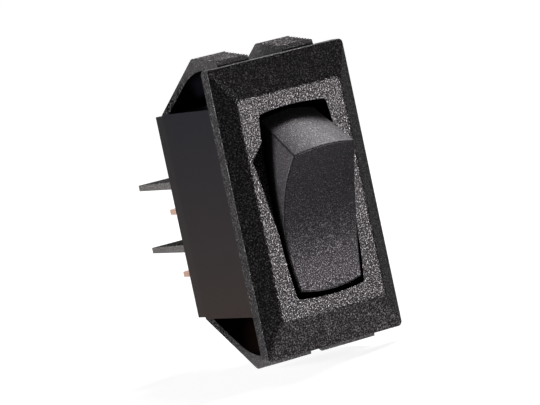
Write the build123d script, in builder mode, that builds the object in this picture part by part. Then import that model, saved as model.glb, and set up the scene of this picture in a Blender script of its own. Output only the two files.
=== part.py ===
from build123d import *
from math import cos, radians, sin, sqrt, tan
import os

# Snap-in rocker switch with two 6.35 mm tab terminals.
# X is the width, the front faces -Y, +Z is up. The origin is the middle of the
# plane where the bezel seats on the panel. Millimetres and degrees.

# Bezel: a flat rim, four slopes and a raised plateau
bezel_width = 24.4
bezel_height = 44.8
rim_thickness = 1.95
rim_corner = 0.7
rim_edge_round = 0.2
side_slope_width = 2.85
end_slope_width = 5.45
plateau_rise = 1.76
plateau_corner = 1.0
plateau_edge_round = 0.8
lip_thickness = 1.5
opening_corner = 0.6
opening_end_bow = 0.5

# Rocker, measured from its pivot: forward is out of the panel
rocker_swing = 16.8
pivot_depth = 2.08
face_reach = 9.9
face_half_length = 10.71
face_sag = 2.16
face_end_bow = 0.79
face_edge_round = 0.3
rocker_corner_round = 0.4
rocker_mid_half_width = 6.52
rocker_end_half_width = 5.54
hub_radius = 2.8
trunnion_radius = 1.5
trunnion_reach = 0.9
boss_radius = 3.2
boss_depth = 6.5
well_front = 3.6
skirt_wall = 1.4
pocket_roof = 1.5

# Body of the housing
side_wall = 1.67
end_wall = 1.3
body_depth = 20.35

# Snap wings: depth behind the panel seat, and rise above the body's end face
wing_width = 5.7
wing_front_depth = 0.7
wing_front_rake = 0.25
wing_front_rise = 7.07
wing_apex_depth = 7.9
wing_apex_rise = 8.05
wing_apex_round = 1.5
wing_tip_thickness = 1.07
wing_root_length = 2.1
wing_flat_length = 4.7
wing_curve_length = 6.2
wing_curve_drop = 1.8
wing_curve_bulge = 0.48
wing_teeth = 9
wing_tooth_depth = 0.14

# Terminal base, its fins and the post under the open end of the contact arm
base_thickness = 2.25
base_step = 0.25
base_side_step = 0.1
base_seam_bevel = 0.15
spigot_length = 2.5
fin_height = 4.98
fin_length = 10.3
fin_root_thickness = 1.17
fin_tip_thickness = 0.9
fin_end_margin = 0.3
post_width = 4.0
post_thickness = 2.0

# Tab terminals
tab_width = 6.35
strip_thickness = 0.8
tab_length = 12.4
tab_corner = 1.0
tab_bevel = 0.2
tab_hole_radius = 0.85
tab_hole_from_tip = 4.1
terminal_pitch = 10.0

# Contact arm: a V strip that rocks in two open bearings
arm_axis_depth = 13.05
arm_swing = 8.5
arm_half_width = 2.5
arm_valley = 1.14
arm_slope = 0.333
arm_knee = 6.0
arm_half_length = 10.2
lug_radius = 0.7
lug_overhang = 0.2
ear_gap = 0.4
ear_thickness = 0.8
ear_half_height = 2.0
ear_rise = 1.2
bridge_margin = 0.2

# Contacts
contact_height = 8.4
contact_radius = 1.5
contact_thickness = 0.7
shank_radius = 0.8
pad_margin = 0.3

# Plunger and its spring
plunger_clearance = 0.08
plunger_radius = 1.85
plunger_head = 1.2
plunger_nose = 1.6
plunger_tip_radius = 1.3
stem_radius = 0.9
stem_length = 2.7
wire_radius = 0.18
wire_sides = 8
coil_radius = 1.45
coil_turns = 5

# Clearances
rocker_side_clearance = 0.48
rocker_end_clearance = 0.8
cavity_end_clearance = 0.31
plunger_tip_gap = 0.33
trunnion_clearance = 0.05
trunnion_end_clearance = 0.1
spigot_clearance = 0.05
lug_clearance = 0.05
slot_clearance = 0.02
closed_contact_gap = 0.05
cut_overrun = 1.0

# Worked out from the sizes above
end_slope = tan(radians(rocker_swing))
face_mid_length = face_half_length + face_end_bow
skirt_mid_length = face_mid_length + end_slope * face_reach
pressed_end = skirt_mid_length * cos(radians(rocker_swing))
side_drop = rocker_mid_half_width - rocker_end_half_width
side_arc_radius = (face_half_length**2 + side_drop**2) / (2 * side_drop)
dish_radius = (face_half_length**2 + face_sag**2) / (2 * face_sag)
dish_middle = face_reach - face_sag
well_radius = plunger_radius + plunger_clearance
valley_depth = arm_axis_depth - arm_valley
plunger_tip_centre = valley_depth - pivot_depth - plunger_tip_radius - plunger_tip_gap
plunger_shoulder = plunger_tip_centre - plunger_nose

opening_half_height = pressed_end + rocker_end_clearance
opening_mid_half_width = rocker_mid_half_width + rocker_side_clearance
opening_end_half_width = rocker_end_half_width + rocker_side_clearance
cavity_half_width = opening_mid_half_width
cavity_half_height = skirt_mid_length + cavity_end_clearance
body_half_width = cavity_half_width + side_wall
body_half_height = cavity_half_height + end_wall
trunnion_half_length = cavity_half_width + trunnion_reach

plateau_width = bezel_width - 2 * side_slope_width
plateau_height = bezel_height - 2 * end_slope_width
plateau_depth = -rim_thickness - plateau_rise
cavity_front = plateau_depth + lip_thickness
base_rear = body_depth + base_thickness
base_floor = body_depth - spigot_length
tab_tip = base_rear + tab_length

knee_reach = arm_valley + arm_slope * arm_knee
end_reach = knee_reach + tan(radians(arm_swing)) * (arm_half_length - arm_knee)
knee_forward = knee_reach * cos(radians(arm_swing)) - arm_knee * sin(radians(arm_swing))
arm_end_rear = arm_axis_depth - knee_forward + strip_thickness
fixed_face = arm_end_rear + contact_thickness + closed_contact_gap
pad_front = fixed_face + contact_thickness
pad_rear = pad_front + strip_thickness
ear_inner = arm_half_width + ear_gap
ear_outer = ear_inner + ear_thickness
bridge_front = base_floor - strip_thickness


def front_plane(depth):
    """Plane that looks out of the panel, at a depth behind the panel seat."""
    return Plane.XZ.offset(-depth)


def forward_plane(axis_depth, turn):
    """Plane at a cross axis whose normal is the turned body's forward direction."""
    forward = (0, -cos(radians(turn)), -sin(radians(turn)))
    return Plane(origin=(0, axis_depth, 0), x_dir=(1, 0, 0), z_dir=forward)


def profile_plane(axis_depth, turn):
    """Plane across a body at its axis: local x is the body's up, local y its forward."""
    upward = (0, -sin(radians(turn)), cos(radians(turn)))
    return Plane(origin=(0, axis_depth, 0), x_dir=upward, z_dir=(1, 0, 0))


def rocker_half_width(along):
    """Half-width of the barrel-sided rocker at a distance from its middle."""
    return rocker_mid_half_width - side_arc_radius + sqrt(side_arc_radius**2 - along**2)


def barrel_outline(mid_half_width, end_half_width, end_height, end_bow, corner):
    """Sketch with bowed sides, bowed ends and rounded corners."""
    lower_right = (end_half_width, -end_height)
    upper_right = (end_half_width, end_height)
    upper_left = (-end_half_width, end_height)
    lower_left = (-end_half_width, -end_height)
    with BuildSketch() as outline:
        with BuildLine():
            ThreePointArc(lower_right, (mid_half_width, 0), upper_right)
            ThreePointArc(upper_right, (0, end_height + end_bow), upper_left)
            ThreePointArc(upper_left, (-mid_half_width, 0), lower_left)
            ThreePointArc(lower_left, (0, -end_height - end_bow), lower_right)
        make_face()
        fillet(outline.vertices(), corner)
    return outline.sketch


def rocker_outline(forward):
    """Outline of the rocker at a distance in front of its pivot, before the dish is cut."""
    half_length = face_half_length + end_slope * (face_reach - forward)
    half_width = rocker_half_width(half_length)
    return barrel_outline(
        rocker_mid_half_width, half_width, half_length, face_end_bow, rocker_corner_round
    )


def wing_ramp():
    """Points of the ramp from the apex to the front, toothed after the first step."""
    apex = Vector(wing_apex_depth, body_half_height + wing_apex_rise)
    front = Vector(wing_front_depth + wing_front_rake, body_half_height + wing_front_rise)
    step = (front - apex) / wing_teeth
    tooth = Vector(0, -wing_tooth_depth)
    points = [apex]
    for index in range(1, wing_teeth):
        crest = apex + step * index
        points.append(crest)
        points.append(crest + tooth)
    points.append(front)
    return points


def wing_profile():
    """Sketch of an upper and a lower snap wing from the side, for the YZ plane."""
    ramp = wing_ramp()
    under_height = body_half_height + wing_front_rise - wing_tip_thickness
    flat_end = Vector(wing_front_depth + wing_flat_length, under_height)
    curve_end = flat_end + Vector(wing_curve_length, -wing_curve_drop)
    curve_middle = (flat_end + curve_end) / 2 + Vector(0, wing_curve_bulge)
    inner_root = Vector(body_depth - wing_root_length, body_half_height)
    outer_root = Vector(body_depth, body_half_height)
    with BuildSketch() as profile:
        with BuildLine():
            Polyline(outer_root, *ramp, (wing_front_depth, under_height), flat_end)
            ThreePointArc(flat_end, curve_middle, curve_end)
            Polyline(curve_end, inner_root, outer_root)
        make_face()
        fillet(profile.vertices().sort_by(Axis.Y)[-1], wing_apex_round)
        mirror(about=Plane.XZ)
    return profile.sketch


def tab_outline(start_depth):
    """Sketch of a tab seen from above, from a depth inside the body to its tip."""
    with BuildSketch() as outline:
        with Locations((0, (start_depth + tab_tip) / 2)):
            Rectangle(tab_width, tab_tip - start_depth)
        with Locations((0, tab_tip - tab_hole_from_tip)):
            Circle(tab_hole_radius, mode=Mode.SUBTRACT)
    return outline.sketch


def finish_tab_tip(blade):
    """Cut the tip's corners and bevel its end on both faces."""
    tip_face = blade.faces().sort_by(Axis.Y)[-1]
    chamfer(tip_face.edges().filter_by(Axis.Z), tab_corner)
    tip_face = blade.faces().sort_by(Axis.Y)[-1]
    chamfer(tip_face.edges().filter_by(Axis.X), tab_bevel)


# Housing: bezel, body and four snap wings in one moulding
with BuildPart() as housing:
    with BuildSketch(front_plane(0)):
        RectangleRounded(bezel_width, bezel_height, rim_corner)
    extrude(amount=rim_thickness)
    with BuildSketch(front_plane(-rim_thickness)):
        RectangleRounded(bezel_width, bezel_height, rim_corner)
    with BuildSketch(front_plane(plateau_depth)):
        RectangleRounded(plateau_width, plateau_height, plateau_corner)
    loft(ruled=True)
    rim_edges = housing.edges().filter_by_position(Axis.Y, -rim_thickness, -rim_thickness)
    fillet(rim_edges, rim_edge_round)
    plateau_edges = housing.edges().filter_by_position(Axis.Y, plateau_depth, plateau_depth)
    fillet(plateau_edges, plateau_edge_round)
    with BuildSketch(front_plane(0)):
        Rectangle(2 * body_half_width, 2 * body_half_height)
    extrude(amount=-body_depth)
    for inner_side in (body_half_width - wing_width, -body_half_width):
        with BuildSketch(Plane.YZ.offset(inner_side)):
            add(wing_profile())
        extrude(amount=wing_width)
    with BuildSketch(front_plane(cavity_front)):
        Rectangle(2 * cavity_half_width, 2 * cavity_half_height)
    extrude(amount=cavity_front - body_depth, mode=Mode.SUBTRACT)
    with BuildSketch(front_plane(cavity_front)):
        add(
            barrel_outline(
                opening_mid_half_width,
                opening_end_half_width,
                opening_half_height - opening_end_bow,
                opening_end_bow,
                opening_corner,
            )
        )
    extrude(amount=lip_thickness + cut_overrun, mode=Mode.SUBTRACT)
    with BuildSketch(Plane.YZ):
        with Locations((pivot_depth, 0)):
            Circle(trunnion_radius + trunnion_clearance)
    extrude(amount=trunnion_half_length + trunnion_end_clearance, both=True, mode=Mode.SUBTRACT)

# Rocker, with its lower end pressed in
rocker_forward = forward_plane(pivot_depth, rocker_swing)
rocker_profile = profile_plane(pivot_depth, rocker_swing)
blank_reach = face_reach + cut_overrun
pocket_start = boss_radius + skirt_wall
pocket_end = face_half_length - skirt_wall
pocket_depth = dish_middle - pocket_roof
pocket_half_width = rocker_end_half_width - skirt_wall

with BuildPart() as rocker:
    with BuildSketch(rocker_forward):
        add(rocker_outline(0))
    with BuildSketch(rocker_forward.offset(blank_reach)):
        add(rocker_outline(blank_reach))
    loft(ruled=True)
    with BuildSketch(rocker_profile):
        with Locations((0, dish_middle + dish_radius)):
            Circle(dish_radius)
    extrude(amount=rocker_mid_half_width + cut_overrun, both=True, mode=Mode.SUBTRACT)
    dish = rocker.faces().filter_by(GeomType.CYLINDER).sort_by(SortBy.AREA)[-1]
    fillet(dish.edges(), face_edge_round)
    with BuildSketch(rocker_profile):
        Circle(hub_radius)
    extrude(amount=rocker_half_width(hub_radius), both=True)
    with BuildSketch(rocker_profile):
        Circle(trunnion_radius)
    extrude(amount=trunnion_half_length, both=True)
    with BuildSketch(rocker_forward):
        Circle(boss_radius)
    extrude(amount=-boss_depth)
    with BuildSketch(rocker_forward.offset(well_front)):
        Circle(well_radius)
    extrude(amount=-well_front - boss_depth, mode=Mode.SUBTRACT)
    with BuildSketch(rocker_forward):
        with Locations((0, (pocket_start + pocket_end) / 2), (0, -(pocket_start + pocket_end) / 2)):
            Rectangle(2 * pocket_half_width, pocket_end - pocket_start)
    extrude(amount=pocket_depth, mode=Mode.SUBTRACT)

# Terminal base: the plate that closes the body, its spigot, fins and post
with BuildPart() as terminal_base:
    with BuildSketch(front_plane(base_rear)):
        Rectangle(2 * (body_half_width - base_side_step), 2 * (body_half_height - base_step))
    extrude(amount=base_thickness)
    seam_edges = terminal_base.edges().filter_by_position(Axis.Y, body_depth, body_depth)
    chamfer(seam_edges, base_seam_bevel)
    with BuildSketch(front_plane(body_depth)):
        Rectangle(
            2 * (cavity_half_width - spigot_clearance), 2 * (cavity_half_height - spigot_clearance)
        )
    extrude(amount=spigot_length)
    for fin_middle in (fin_height, -fin_height):
        with BuildSketch(Plane.YZ):
            with BuildLine():
                Polyline(
                    (base_rear, fin_middle - fin_root_thickness / 2),
                    (base_rear + fin_length, fin_middle - fin_tip_thickness / 2),
                    (base_rear + fin_length, fin_middle + fin_tip_thickness / 2),
                    (base_rear, fin_middle + fin_root_thickness / 2),
                    close=True,
                )
            make_face()
        extrude(amount=body_half_width - fin_end_margin, both=True)
    with BuildSketch(front_plane(base_floor)):
        with Locations((0, contact_height)):
            Rectangle(post_width, post_thickness)
    extrude(amount=base_floor - arm_end_rear - closed_contact_gap)
    with BuildSketch(front_plane(base_rear)):
        with Locations((0, 0), (0, -terminal_pitch)):
            Rectangle(tab_width + 2 * slot_clearance, strip_thickness + 2 * slot_clearance)
    extrude(amount=base_rear - base_floor, mode=Mode.SUBTRACT)

# Common terminal: the middle tab, a bridge and two ears that carry the arm
with BuildPart() as common_terminal:
    with BuildSketch(Plane.XY):
        add(tab_outline(base_floor))
    extrude(amount=strip_thickness / 2, both=True)
    finish_tab_tip(common_terminal)
    with BuildSketch(front_plane(base_floor)):
        Rectangle(2 * ear_outer, 2 * (ear_half_height + bridge_margin))
    extrude(amount=strip_thickness)
    for ear_side in (ear_inner, -ear_outer):
        with BuildSketch(Plane.YZ.offset(ear_side)):
            with Locations(((arm_axis_depth - ear_rise + bridge_front) / 2, 0)):
                Rectangle(bridge_front - arm_axis_depth + ear_rise, 2 * ear_half_height)
            with Locations((arm_axis_depth, 0)):
                Circle(lug_radius + lug_clearance, mode=Mode.SUBTRACT)
            with Locations((arm_axis_depth - ear_rise / 2, 0)):
                Rectangle(ear_rise, 2 * (lug_radius + lug_clearance), mode=Mode.SUBTRACT)
        extrude(amount=ear_thickness)

# Load terminal: the lower tab, bent over inside to carry the fixed contact
pad_outer = terminal_pitch + strip_thickness / 2
pad_inner = contact_height - contact_radius - pad_margin
with BuildPart() as load_terminal:
    with BuildSketch(Plane.XY.offset(-terminal_pitch)):
        add(tab_outline(pad_front))
    extrude(amount=strip_thickness / 2, both=True)
    finish_tab_tip(load_terminal)
    with BuildSketch(front_plane(pad_rear)):
        with Locations((0, -(pad_outer + pad_inner) / 2)):
            Rectangle(tab_width, pad_outer - pad_inner)
    extrude(amount=strip_thickness)
    with BuildSketch(front_plane(pad_rear)):
        with Locations((0, -contact_height)):
            Circle(shank_radius)
    extrude(amount=strip_thickness, mode=Mode.SUBTRACT)

# Fixed contact: a rivet on the load terminal's pad
with BuildPart() as fixed_contact:
    with BuildSketch(front_plane(pad_front)):
        with Locations((0, -contact_height)):
            Circle(contact_radius)
    extrude(amount=contact_thickness)
    with BuildSketch(front_plane(pad_rear)):
        with Locations((0, -contact_height)):
            Circle(shank_radius)
    extrude(amount=strip_thickness)

# Contact arm, tilted with its lower end away from the fixed contact
arm_profile = profile_plane(arm_axis_depth, -arm_swing)
open_turn = radians(2 * arm_swing)
rear_offset = arm_end_rear - arm_axis_depth
contact_seat = Plane(
    origin=(
        0,
        arm_axis_depth + rear_offset * cos(open_turn) - contact_height * sin(open_turn),
        -rear_offset * sin(open_turn) - contact_height * cos(open_turn),
    ),
    x_dir=(1, 0, 0),
    z_dir=(0, cos(open_turn), -sin(open_turn)),
)

with BuildPart() as contact_arm:
    with BuildSketch(arm_profile):
        with BuildLine():
            Polyline(
                (-arm_half_length, end_reach),
                (-arm_knee, knee_reach),
                (0, arm_valley),
                (arm_knee, knee_reach),
                (arm_half_length, end_reach),
            )
            offset(amount=strip_thickness, side=Side.RIGHT, closed=True)
        make_face()
    extrude(amount=arm_half_width, both=True)
    with BuildSketch(arm_profile):
        Circle(lug_radius)
    extrude(amount=ear_outer + lug_overhang, both=True)
    with BuildSketch(contact_seat):
        Circle(shank_radius)
    extrude(amount=-strip_thickness, mode=Mode.SUBTRACT)

# Moving contact: a rivet through the lower end of the arm
with BuildPart() as moving_contact:
    with BuildSketch(contact_seat):
        Circle(contact_radius)
    extrude(amount=contact_thickness)
    with BuildSketch(contact_seat):
        Circle(shank_radius)
    extrude(amount=-strip_thickness)

# Plunger: slides in the rocker's well and rides in the arm's valley
with BuildPart() as plunger:
    with BuildSketch(rocker_profile):
        with BuildLine():
            Polyline(
                (0, -plunger_tip_centre - plunger_tip_radius),
                (0, stem_length - plunger_head),
                (stem_radius, stem_length - plunger_head),
                (stem_radius, -plunger_head),
                (plunger_radius, -plunger_head),
                (plunger_radius, -plunger_shoulder),
                (plunger_tip_radius, -plunger_tip_centre),
            )
            RadiusArc(
                (plunger_tip_radius, -plunger_tip_centre),
                (0, -plunger_tip_centre - plunger_tip_radius),
                plunger_tip_radius,
            )
        make_face()
    revolve(axis=Axis((0, pivot_depth, 0), rocker_forward.z_dir))

# Plunger spring: coil between the well's end and the plunger's head
coil_length = well_front + plunger_head - 2 * wire_radius
coil_base = rocker_forward.offset(wire_radius - plunger_head)
with BuildPart() as plunger_spring:
    with BuildLine() as coil:
        Helix(
            pitch=coil_length / coil_turns,
            height=coil_length,
            radius=coil_radius,
            center=coil_base.origin,
            direction=coil_base.z_dir,
        )
    with BuildSketch(Plane(origin=coil.line @ 0, z_dir=coil.line % 0)):
        RegularPolygon(wire_radius, wire_sides)
    sweep(path=coil.line, is_frenet=True)

pieces = {
    "housing": housing,
    "rocker": rocker,
    "terminal_base": terminal_base,
    "common_terminal": common_terminal,
    "load_terminal": load_terminal,
    "fixed_contact": fixed_contact,
    "contact_arm": contact_arm,
    "moving_contact": moving_contact,
    "plunger": plunger,
    "plunger_spring": plunger_spring,
}
os.makedirs("parts", exist_ok=True)
for name, piece in pieces.items():
    piece.part.label = name
    export_step(piece.part, f"parts/{name}.step")
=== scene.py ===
import bpy
import math
from mathutils import Matrix, Quaternion, Vector


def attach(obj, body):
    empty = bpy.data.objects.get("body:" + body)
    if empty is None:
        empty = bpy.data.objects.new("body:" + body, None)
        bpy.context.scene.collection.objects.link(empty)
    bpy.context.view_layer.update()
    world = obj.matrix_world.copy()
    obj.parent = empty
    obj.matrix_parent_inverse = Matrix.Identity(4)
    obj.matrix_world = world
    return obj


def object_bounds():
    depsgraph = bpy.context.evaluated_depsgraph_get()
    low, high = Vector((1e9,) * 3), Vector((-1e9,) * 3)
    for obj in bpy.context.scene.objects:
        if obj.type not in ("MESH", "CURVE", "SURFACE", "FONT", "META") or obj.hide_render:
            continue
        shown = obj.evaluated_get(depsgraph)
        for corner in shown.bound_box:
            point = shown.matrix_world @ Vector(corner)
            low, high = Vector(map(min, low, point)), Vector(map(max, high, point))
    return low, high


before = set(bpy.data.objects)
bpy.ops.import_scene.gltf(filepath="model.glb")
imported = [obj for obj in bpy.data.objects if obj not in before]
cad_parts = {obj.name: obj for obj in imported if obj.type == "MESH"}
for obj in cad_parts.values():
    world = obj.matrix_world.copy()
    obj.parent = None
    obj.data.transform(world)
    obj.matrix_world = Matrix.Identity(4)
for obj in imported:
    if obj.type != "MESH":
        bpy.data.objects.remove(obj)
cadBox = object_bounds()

mm = 0.001
scene = bpy.context.scene
scene.view_settings.view_transform = "Standard"
print("frame loaded:", ", ".join(sorted(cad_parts)))


# Shader helpers: each adds a node or two and gives back what comes out of them

def newMaterial(name):
    material = bpy.data.materials.new(name)
    material.use_nodes = True
    tree = material.node_tree
    return material, tree, tree.nodes["Principled BSDF"]


def feed(tree, socket, value):
    if isinstance(value, (int, float, tuple)):
        socket.default_value = value
    else:
        tree.links.new(value, socket)


def addMath(tree, operation, first, second=0):
    node = tree.nodes.new("ShaderNodeMath")
    node.operation = operation
    feed(tree, node.inputs[0], first)
    feed(tree, node.inputs[1], second)
    return node.outputs[0]


def addRest(tree, share):
    return addMath(tree, "SUBTRACT", 1, share)


def addRange(tree, value, low, high, first=0, last=1, smooth=False):
    node = tree.nodes.new("ShaderNodeMapRange")
    if smooth:
        node.interpolation_type = "SMOOTHSTEP"
    node.inputs["From Min"].default_value = low
    node.inputs["From Max"].default_value = high
    node.inputs["To Min"].default_value = first
    node.inputs["To Max"].default_value = last
    tree.links.new(value, node.inputs["Value"])
    return node.outputs["Result"]


def addColorMix(tree, share, first, second):
    node = tree.nodes.new("ShaderNodeMix")
    node.data_type = "RGBA"
    for index, value in ((0, share), (6, first), (7, second)):   # its factor, then its colours
        feed(tree, node.inputs[index], value)
    return node.outputs[2]


def addNoise(tree, place, size, detail=2.0):
    node = tree.nodes.new("ShaderNodeTexNoise")
    node.inputs["Scale"].default_value = 1 / size
    node.inputs["Detail"].default_value = detail
    tree.links.new(place, node.inputs["Vector"])
    return node.outputs[0]


def addBump(tree, height, depth):
    node = tree.nodes.new("ShaderNodeBump")
    node.inputs["Distance"].default_value = depth
    tree.links.new(height, node.inputs["Height"])
    return node.outputs[0]


def addPlace(tree):
    return tree.nodes.new("ShaderNodeTexCoord").outputs["Object"]


def addSplit(tree, vector):
    node = tree.nodes.new("ShaderNodeSeparateXYZ")
    tree.links.new(vector, node.inputs[0])
    return node.outputs


def addFacing(tree):
    return addSplit(tree, tree.nodes.new("ShaderNodeNewGeometry").outputs["Normal"])


# Goes from low to high up the piece, and stays level past the reach

def addHeightMix(tree, place, reach, low, high):
    return addRange(tree, addSplit(tree, place)["Z"], -reach, reach, low, high)


# A face counts as turned to an axis when this much of its normal points along it

squareOn = 0.7


# Moulded grain, with lighter tops and tiny glints: the shine swings with the grain,
# and a few grains are much brighter than the rest

grainLook = dict(
    detail=1.5,
    topsFrom=0.42,     # of the noise, where the lighter tops begin
    topsFull=0.62,
    middle=0.50,       # of the noise, about which the shine swings
    below=0.18,        # how far the swing reaches under the middle
    above=0.40,        # and over it
    sharpness=2.5,     # more leaves fewer and brighter glints
    dull=-0.28,        # added to the plain shine in the dullest spots
    bright=3.5,        # and on top of that in the brightest
    plainShine=0.5,
)


def addGrain(tree, place, size):
    return addNoise(tree, place, size, grainLook["detail"])


def addGrainTops(tree, grain):
    return addRange(tree, grain, grainLook["topsFrom"], grainLook["topsFull"])


def addGlints(tree, grain, contrast, amount):
    lowest = grainLook["middle"] - grainLook["below"] / contrast
    highest = grainLook["middle"] + grainLook["above"] / contrast
    glint = addRange(tree, grain, lowest, highest)
    glint = addMath(tree, "POWER", glint, grainLook["sharpness"])
    glint = addMath(tree, "MULTIPLY", glint, grainLook["bright"])
    glint = addMath(tree, "ADD", glint, grainLook["dull"])
    glint = addMath(tree, "MULTIPLY", glint, amount)
    return addMath(tree, "ADD", glint, grainLook["plainShine"])


# Painted reflection on the polished sides: warm and strong low down,
# cool and weaker at the top

def addPaintedSideReflection(tree, place, look):
    upward = addHeightMix(tree, place, look["paintedReflectionReach"], 0, 1)
    tint = addColorMix(tree, upward, look["lowPaintedTint"], look["highPaintedTint"])
    shine = addHeightMix(tree, place, look["paintedReflectionReach"], look["lowPaintedShine"], look["highPaintedShine"])
    return tint, shine


# Housing: grained bezel and wings, polished body; painted reflection on the body's sides,
# painted light on the wings

housingLook = dict(
    color=(0.0040, 0.0037, 0.0040, 1),
    grainColor=(0.0080, 0.0074, 0.0080, 1),   # the tops of the grains
    roughness=0.35,           # grained faces: bezel, rim and the outside of the wings
    roughnessSwing=0.03,
    smoothRoughness=0.28,     # polished faces: body sides and the inside of the wings
    grainSize=0.22 * mm,
    grainDepth=0.07 * mm,
    glints=1.6,
    matt=0.07,                # taken off the shine of the grained faces
    grainFrom=-1.80 * mm,     # everything in front of this depth carries the full grain
    wingFrom=16.2 * mm,       # the wings lie past this height
    outwardFrom=-5.4 * mm,    # height times the normal's rise, more on a wing's outer faces
    paintedWingReach=(19 * mm, 22.5 * mm),   # heights between which the painted light on a wing grows
    paintedWingLight=(-0.25, 0.35),  # painted shade low and painted highlight high, added to the shine of the wings
    fineShare=0.85,           # how strong the grain is on the rim's edge and the wings
    waveSize=2.5 * mm,
    waveShare=0.05,
    grainTint=(1.00, 0.93, 0.97, 1),
    # painted reflection on the polished sides: tint and shine from low to high
    lowPaintedTint=(1.00, 0.62, 0.52, 1),
    highPaintedTint=(0.60, 0.57, 0.85, 1),
    lowPaintedShine=0.28,            # painted reflection, added to the shine of the polished sides
    highPaintedShine=-0.05,
    paintedReflectionReach=16 * mm,
)


# Places on the housing, each 1 inside and 0 outside, and the painted light that the wings add
# to the shine, darker low and brighter high

def housingZones(tree, place, look):
    at = addSplit(tree, place)
    facing = addFacing(tree)
    behindRim = addMath(tree, "GREATER_THAN", at["Y"], 0)
    height = addMath(tree, "ABSOLUTE", at["Z"])
    pastBody = addMath(tree, "GREATER_THAN", height, look["wingFrom"])
    onWing = addMath(tree, "MULTIPLY", behindRim, pastBody)
    sideways = addMath(tree, "GREATER_THAN", addMath(tree, "ABSOLUTE", facing["X"]), squareOn)
    outward = addMath(tree, "MULTIPLY", at["Z"], facing["Z"])
    outward = addMath(tree, "GREATER_THAN", outward, look["outwardFrom"])
    wingFace = addMath(tree, "MULTIPLY", onWing, addMath(tree, "MAXIMUM", sideways, outward))
    # painted light on the wings: painted shade low down, painted highlight high up
    paintedWingLight = addRange(tree, height, *look["paintedWingReach"], *look["paintedWingLight"])
    paintedWingLight = addMath(tree, "MULTIPLY", wingFace, paintedWingLight)
    front = addMath(tree, "LESS_THAN", at["Y"], look["grainFrom"])
    return front, addRest(tree, behindRim), wingFace, paintedWingLight


def housingMaterial(look):
    material, tree, shader = newMaterial("mouldedBlackHousing")
    place = addPlace(tree)
    front, rim, wingFace, paintedWingLight = housingZones(tree, place, look)
    # painted reflection on the polished body sides
    paintedSideTint, paintedSideShine = addPaintedSideReflection(tree, place, look)
    grained = addMath(tree, "MAXIMUM", rim, wingFace)
    depth = addMath(tree, "MULTIPLY", grained, look["fineShare"])
    depth = addMath(tree, "MAXIMUM", front, depth)
    pebbles = addGrain(tree, place, look["grainSize"])
    tops = addMath(tree, "MULTIPLY", addGrainTops(tree, pebbles), depth)
    color = addColorMix(tree, tops, look["color"], look["grainColor"])
    tree.links.new(color, shader.inputs["Base Color"])

    roughest = look["roughness"] + look["roughnessSwing"]
    roughness = addRange(tree, grained, 0, 1, look["smoothRoughness"], roughest)
    sheen = addMath(tree, "MULTIPLY", tops, 2 * look["roughnessSwing"])
    tree.links.new(addMath(tree, "SUBTRACT", roughness, sheen), shader.inputs["Roughness"])

    shine = addGlints(tree, pebbles, look["glints"], depth)
    shine = addMath(tree, "SUBTRACT", shine, addMath(tree, "MULTIPLY", depth, look["matt"]))
    # the painted reflection shows only on the polished faces
    paintedSideShine = addMath(tree, "MULTIPLY", paintedSideShine, addRest(tree, depth))
    # the painted light on the wings is added as well
    for extra in (paintedSideShine, paintedWingLight):
        shine = addMath(tree, "ADD", shine, extra)
    tree.links.new(addMath(tree, "MAXIMUM", shine, 0), shader.inputs["Specular IOR Level"])
    # painted reflection tint on the polished faces, the grain's own tint on the grained ones
    tint = addColorMix(tree, grained, paintedSideTint, look["grainTint"])
    tree.links.new(tint, shader.inputs["Specular Tint"])

    grain = addMath(tree, "MULTIPLY", pebbles, depth)
    wave = addNoise(tree, place, look["waveSize"])
    wave = addMath(tree, "MULTIPLY", wave, look["waveShare"])
    relief = addMath(tree, "ADD", grain, wave)
    tree.links.new(addBump(tree, relief, look["grainDepth"]), shader.inputs["Normal"])
    return material


# Rear plate: polished sides with a painted reflection, fins with pale grained ends and dull
# broad faces

baseLook = dict(
    color=(0.0050, 0.0045, 0.0045, 1),
    grainColor=(0.0090, 0.0081, 0.0081, 1),
    roughness=0.29,
    grainSize=0.24 * mm,
    grainDepth=0.030 * mm,
    glints=1.6,
    finFrom=22.7 * mm,        # past this depth only the fins are left
    finRoughness=0.55,
    finShine=1.1,             # added to the shine of the fins' ends
    topRoughness=0.75,
    topShine=-0.35,           # and on the fins' broad faces
    finTint=(1.00, 0.94, 0.93, 1),
    # painted reflection on the plate's sides: tint and shine from low to high
    lowPaintedTint=(1.00, 0.72, 0.64, 1),
    highPaintedTint=(0.90, 0.84, 0.94, 1),
    lowPaintedShine=0.30,            # painted reflection, added to the shine of the plate's sides
    highPaintedShine=-0.05,
    paintedReflectionReach=16 * mm,
)


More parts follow.
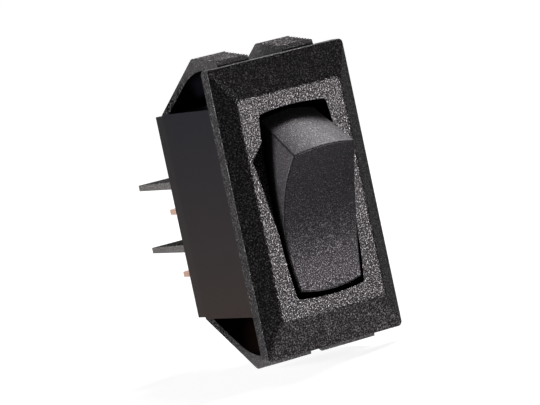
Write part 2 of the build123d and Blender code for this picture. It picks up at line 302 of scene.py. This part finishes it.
def baseMaterial(look):
    material, tree, shader = newMaterial("mouldedBlackBase")
    place = addPlace(tree)
    facing = addFacing(tree)
    # painted reflection on the plate's sides
    paintedSideTint, paintedSideShine = addPaintedSideReflection(tree, place, look)
    onFin = addMath(tree, "GREATER_THAN", addSplit(tree, place)["Y"], look["finFrom"])
    broad = addMath(tree, "GREATER_THAN", addMath(tree, "ABSOLUTE", facing["Z"]), squareOn)
    onFinEnd = addMath(tree, "MULTIPLY", onFin, addRest(tree, broad))
    onFinTop = addMath(tree, "MULTIPLY", onFin, broad)
    grain = addGrain(tree, place, look["grainSize"])
    tops = addMath(tree, "MULTIPLY", addGrainTops(tree, grain), onFin)
    color = addColorMix(tree, tops, look["color"], look["grainColor"])
    tree.links.new(color, shader.inputs["Base Color"])

    roughness = addRange(tree, onFinEnd, 0, 1, look["roughness"], look["finRoughness"])
    rougher = addMath(tree, "MULTIPLY", onFinTop, look["topRoughness"])
    tree.links.new(addMath(tree, "MAXIMUM", roughness, rougher), shader.inputs["Roughness"])

    shine = addGlints(tree, grain, look["glints"], onFin)
    for zone, extra in (
        (onFinEnd, look["finShine"]),
        (onFinTop, look["topShine"]),
        # painted reflection, kept off the fins
        (paintedSideShine, addRest(tree, onFin)),
    ):
        shine = addMath(tree, "ADD", shine, addMath(tree, "MULTIPLY", zone, extra))
    tree.links.new(addMath(tree, "MAXIMUM", shine, 0), shader.inputs["Specular IOR Level"])
    # painted reflection tint on the plate's sides, the fins' own tint on the fins
    tint = addColorMix(tree, onFin, paintedSideTint, look["finTint"])
    tree.links.new(tint, shader.inputs["Specular Tint"])

    relief = addMath(tree, "MULTIPLY", grain, onFin)
    tree.links.new(addBump(tree, relief, look["grainDepth"]), shader.inputs["Normal"])
    return material


# Rocker and plunger: the same grain all over, worn towards the upper end of the rocker

rockerLook = dict(
    color=(0.0058, 0.0052, 0.0059, 1),
    grainColor=(0.0088, 0.0080, 0.0090, 1),
    roughness=0.47,
    roughnessSwing=0.02,
    grainSize=0.19 * mm,
    grainDepth=0.04 * mm,
    glints=1.4,
    wornGlints=0.45,          # share of the glints left at the upper end, smooth from use
    wornReach=8 * mm,
    tint=(1.00, 0.92, 1.00, 1),
)

plungerLook = dict(
    color=(0.76, 0.74, 0.67, 1),
    grainColor=(0.80, 0.78, 0.71, 1),
    roughness=0.38,
    roughnessSwing=0.03,
    grainSize=0.6 * mm,
    grainDepth=0.003 * mm,
    glints=0.1,
    wornGlints=1,
    wornReach=8 * mm,
    tint=(1, 1, 1, 1),
)


def plasticMaterial(name, look):
    material, tree, shader = newMaterial(name)
    place = addPlace(tree)
    grain = addGrain(tree, place, look["grainSize"])
    tops = addGrainTops(tree, grain)
    color = addColorMix(tree, tops, look["color"], look["grainColor"])
    tree.links.new(color, shader.inputs["Base Color"])
    roughest = look["roughness"] + look["roughnessSwing"]
    smoothest = look["roughness"] - look["roughnessSwing"]
    roughness = addRange(tree, tops, 0, 1, roughest, smoothest)
    tree.links.new(roughness, shader.inputs["Roughness"])
    worn = addHeightMix(tree, place, look["wornReach"], 1, look["wornGlints"])
    shine = addGlints(tree, grain, look["glints"], worn)
    tree.links.new(shine, shader.inputs["Specular IOR Level"])
    shader.inputs["Specular Tint"].default_value = look["tint"]
    tree.links.new(addBump(tree, grain, look["grainDepth"]), shader.inputs["Normal"])
    return material


# Metals, with fine streaks from rolling or drawing

copperLook = dict(
    darkColor=(0.88, 0.50, 0.37, 1),
    lightColor=(0.98, 0.74, 0.62, 1),
    roughness=0.36,
    stretch=(1, 0.15, 1),     # the rolling marks run along the strip
    streakSize=0.25 * mm,
    streakDepth=0.004 * mm,
)

contactLook = dict(
    darkColor=(0.62, 0.61, 0.58, 1),
    lightColor=(0.84, 0.83, 0.80, 1),
    roughness=0.28,
    stretch=(1, 1, 1),
    streakSize=0.4 * mm,
    streakDepth=0.003 * mm,
)

springLook = dict(
    darkColor=(0.42, 0.43, 0.45, 1),
    lightColor=(0.66, 0.67, 0.69, 1),
    roughness=0.25,
    stretch=(1, 1, 1),
    streakSize=0.3 * mm,
    streakDepth=0.002 * mm,
)


def metalMaterial(name, look):
    material, tree, shader = newMaterial(name)
    shader.inputs["Metallic"].default_value = 1
    shader.inputs["Roughness"].default_value = look["roughness"]
    stretch = tree.nodes.new("ShaderNodeMapping")
    stretch.inputs["Scale"].default_value = look["stretch"]
    tree.links.new(addPlace(tree), stretch.inputs["Vector"])
    streaks = addNoise(tree, stretch.outputs[0], look["streakSize"])
    ramp = tree.nodes.new("ShaderNodeValToRGB")
    for element, color in zip(ramp.color_ramp.elements, ("darkColor", "lightColor")):
        element.color = look[color]
    tree.links.new(streaks, ramp.inputs[0])
    tree.links.new(ramp.outputs[0], shader.inputs["Base Color"])
    tree.links.new(addBump(tree, streaks, look["streakDepth"]), shader.inputs["Normal"])
    return material


copper = metalMaterial("rolledCopper", copperLook)
contactSilver = metalMaterial("contactSilver", contactLook)
finishes = {
    "housing": housingMaterial(housingLook),
    "rocker": plasticMaterial("fineGrainBlack", rockerLook),
    "terminal_base": baseMaterial(baseLook),
    "plunger": plasticMaterial("naturalNylon", plungerLook),
    "common_terminal": copper,
    "load_terminal": copper,
    "contact_arm": copper,
    "fixed_contact": contactSilver,
    "moving_contact": contactSilver,
    "plunger_spring": metalMaterial("springWire", springLook),
}
for nodeName, finish in finishes.items():
    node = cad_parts[nodeName]
    node.data.materials.clear()
    node.data.materials.append(finish)
print("materials made:", len(finishes))


# Web at the root of each pair of wings, which closes the slot between the two at the rear

wingWebLook = dict(
    halfWidth=3.05 * mm,      # a little way into both wings
    wallHeight=16.1 * mm,     # the body's end wall
    sunk=0.1 * mm,
    front=16.8 * mm,
    rear=20.2 * mm,
    height=2.8 * mm,
    outerRoot=20.13 * mm,     # where the outer slope meets the end wall
    outerSlope=(0.543, 0.840),   # how far the slope's normal points back, and out
    innerRoot=18.45 * mm,
    innerSlope=(0.534, 0.846),
    edgeRound=0.08 * mm,
    edgeSteps=2,
    cutMargin=0.001 * mm,     # corners this close to a cut count as on it
)


def makeWingWeb(name, side, look):
    low, high = look["wallHeight"] - look["sunk"], look["wallHeight"] + look["height"]
    middle = (0, (look["front"] + look["rear"]) / 2, side * (low + high) / 2)
    bpy.ops.object.select_all(action="DESELECT")
    bpy.ops.mesh.primitive_cube_add(size=1, location=middle)
    piece = bpy.context.object
    piece.name = name
    piece.scale = (2 * look["halfWidth"], look["rear"] - look["front"], high - low)
    bpy.ops.object.transform_apply(location=True, rotation=True, scale=True)
    bpy.ops.object.mode_set(mode="EDIT")
    cuts = (("outerRoot", "outerSlope", True), ("innerRoot", "innerSlope", False))
    for root, slope, outer in cuts:
        bpy.ops.mesh.select_all(action="SELECT")
        bpy.ops.mesh.bisect(
            plane_co=(0, look[root], side * look["wallHeight"]),
            plane_no=(0, look[slope][0], side * look[slope][1]),
            use_fill=True, clear_outer=outer, clear_inner=not outer,
            threshold=look["cutMargin"],
        )
    bpy.ops.mesh.select_all(action="SELECT")
    bpy.ops.mesh.normals_make_consistent(inside=False)
    bpy.ops.object.mode_set(mode="OBJECT")
    bevel = piece.modifiers.new("edgeRound", "BEVEL")
    bevel.width = look["edgeRound"]
    bevel.segments = look["edgeSteps"]
    bpy.ops.object.modifier_apply(modifier=bevel.name)
    piece.data.materials.append(finishes["housing"])
    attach(piece, "housing")
    return piece


wingWebs = [
    makeWingWeb("wingWebUpper", 1, wingWebLook),
    makeWingWeb("wingWebLower", -1, wingWebLook),
]
print("wing webs made:", len(wingWebs))


# Camera rays, and the rays that mirrors and glass send

def addRays(tree):
    rays = tree.nodes.new("ShaderNodeLightPath").outputs
    mirrored = addMath(tree, "MAXIMUM", rays["Is Glossy Ray"], rays["Is Transmission Ray"])
    return rays["Is Camera Ray"], mirrored


# Pale floor: it glows white for the camera and pale in reflections close to the part,
# and for everything else only the lamps light it

floorLook = dict(
    size=4.0,
    drop=0.5 * mm,
    color=(0.42, 0.42, 0.42, 1),
    roughness=0.9,
    glowColor=(1, 1, 1, 1),
    seen=(0.88, 1.0),                 # near the part, where its shadow shows, and far off
    seenReach=(60 * mm, 300 * mm),
    reflected=(0.74, 0.05),
    reflectedReach=(12 * mm, 35 * mm),
)

bpy.ops.object.select_all(action="DESELECT")
bpy.ops.mesh.primitive_plane_add(
    size=floorLook["size"], location=(0, 0, cadBox[0].z - floorLook["drop"])
)
floor = bpy.context.object
floor.name = "paleFloor"
floorMaterial, floorTree, floorShader = newMaterial("paleFloor")
floorShader.inputs["Base Color"].default_value = floorLook["color"]
floorShader.inputs["Roughness"].default_value = floorLook["roughness"]
floorShader.inputs["Specular IOR Level"].default_value = 0
floorShader.inputs["Emission Color"].default_value = floorLook["glowColor"]
floorLength = floorTree.nodes.new("ShaderNodeVectorMath")
floorLength.operation = "LENGTH"
floorTree.links.new(addPlace(floorTree), floorLength.inputs[0])
floorRays = addRays(floorTree)
floorGlows = []
for rays, shade in zip(floorRays, ("seen", "reflected")):
    reach = floorLook[shade + "Reach"]
    faded = addRange(
        floorTree, floorLength.outputs["Value"], *reach, *floorLook[shade], smooth=True
    )
    floorGlows.append(addMath(floorTree, "MULTIPLY", rays, faded))
floorGlow = addMath(floorTree, "MAXIMUM", *floorGlows)
floorTree.links.new(floorGlow, floorShader.inputs["Emission Strength"])
floor.data.materials.append(floorMaterial)
print("floor set")


# Backdrop: white to the camera. Reflections find it pale behind the part, dim in front of it

backdropLook = dict(
    color=(1, 1, 1, 1),
    seen=1.0,
    reflected=0.58,
    room=0.02,      # what is left everywhere else
    edge=0.25,      # how softly the pale half ends, in shares of the direction
)

world = bpy.data.worlds.new("studio")
scene.world = world
world.use_nodes = True
worldTree = world.node_tree
background = worldTree.nodes["Background"]
background.inputs["Color"].default_value = backdropLook["color"]
direction = worldTree.nodes.new("ShaderNodeTexCoord").outputs["Generated"]
behindPart = addRange(
    worldTree, addSplit(worldTree, direction)["Y"],
    -backdropLook["edge"], backdropLook["edge"], smooth=True,
)
cameraRays, mirrored = addRays(worldTree)
seen = addMath(worldTree, "MULTIPLY", cameraRays, backdropLook["seen"])
reflected = addMath(worldTree, "MULTIPLY", mirrored, backdropLook["reflected"])
reflected = addMath(worldTree, "MULTIPLY", reflected, behindPart)
white = addMath(worldTree, "MAXIMUM", seen, reflected)
strength = addMath(worldTree, "MAXIMUM", white, backdropLook["room"])
worldTree.links.new(strength, background.inputs["Strength"])
print("backdrop set")


# Lamps, each placed from the middle of the part

lamps = dict(
    key=dict(
        toward=(0.42, -0.905, -0.015), along=(1, 0, 0),
        distance=0.60, size=(0.02, 0.02), watts=1.70,
    ),
    top=dict(
        toward=(0.50, 0.165, 0.85), along=(0.65, 0.29, -0.97),
        distance=0.50, size=(0.26, 0.05), watts=1.35,
    ),
    left=dict(
        toward=(-0.93, 0.33, 0.15), along=(0, 0, 1),
        distance=0.50, size=(0.12, 0.12), watts=1.85,
    ),
)
lampAim = (cadBox[0] + cadBox[1]) / 2
for lampName, lamp in lamps.items():
    toward = Vector(lamp["toward"]).normalized()
    across = toward.cross(Vector(lamp["along"])).normalized()
    along = across.cross(toward)
    bpy.ops.object.light_add(type="AREA", location=lampAim + toward * lamp["distance"])
    light = bpy.context.object
    light.name = lampName + "Lamp"
    light.data.shape = "RECTANGLE"
    light.data.size, light.data.size_y = lamp["size"]
    light.data.energy = lamp["watts"]
    light.rotation_euler = Matrix((along, across, toward)).transposed().to_euler()
print("lamps set:", len(lamps))


# Camera

cameraLook = dict(
    place=(-0.35515, -0.5944, 0.05693),
    forward=(0.5058, 0.8588, -0.0812),
    roll=-12.07,
    lens=306.7,
    sensor=36,
    nearest=10 * mm,
)

bpy.ops.object.camera_add(location=cameraLook["place"])
camera = bpy.context.object
camera.name = "mainCamera"
camera.data.lens = cameraLook["lens"]
camera.data.sensor_width = cameraLook["sensor"]
camera.data.clip_start = cameraLook["nearest"]
level = Vector(cameraLook["forward"]).to_track_quat("-Z", "Y")
tilt = Quaternion((0, 0, 1), math.radians(cameraLook["roll"]))
camera.rotation_euler = (level @ tilt).to_euler()
scene.camera = camera
print("camera set")
